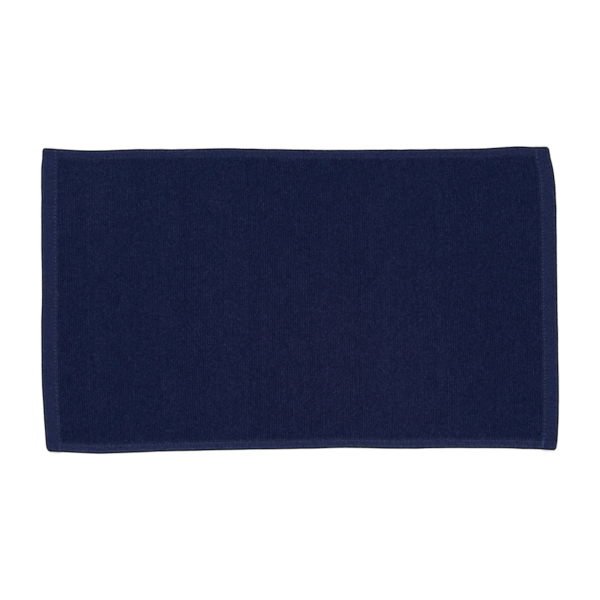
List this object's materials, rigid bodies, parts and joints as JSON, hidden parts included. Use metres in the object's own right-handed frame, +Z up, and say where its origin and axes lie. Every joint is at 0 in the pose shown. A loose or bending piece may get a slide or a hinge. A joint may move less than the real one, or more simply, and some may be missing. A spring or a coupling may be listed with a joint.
{
  "type": "golf towel",
  "caption": "Rectangular hemmed towel of plain velour terry cloth for wiping clubs and hands, laid flat with its sheared pile face up.",
  "frame": {"origin": "on the surface that the towel lies on, below the middle of its outline's box", "axes": "+X along the towel's length, +Y across it, +Z up out of its sheared face"},
  "size_m": [0.46, 0.273, 0.0039],
  "materials": {
    "velour": "sheared cotton pile in fine ribs that run across the towel, dead matt with a faint nap sheen",
    "loops": "uncut cotton terry loops, dead matt",
    "weave": "flat cotton weave, matt",
    "thread": "twisted polyester sewing thread, slight sheen"
  },
  "bodies": {
    "root": {"loop_pile": "loops", "ground_weave": "weave", "velour_pile": "velour", "left_hem": "weave", "right_hem": "weave", "bottom_hem": "weave", "top_hem": "weave", "left_needle_thread": "thread", "left_bobbin_thread": "thread", "right_needle_thread": "thread", "right_bobbin_thread": "thread", "bottom_needle_thread": "thread", "bottom_bobbin_thread": "thread", "top_needle_thread": "thread", "top_bobbin_thread": "thread"}
  },
  "joints": []
}
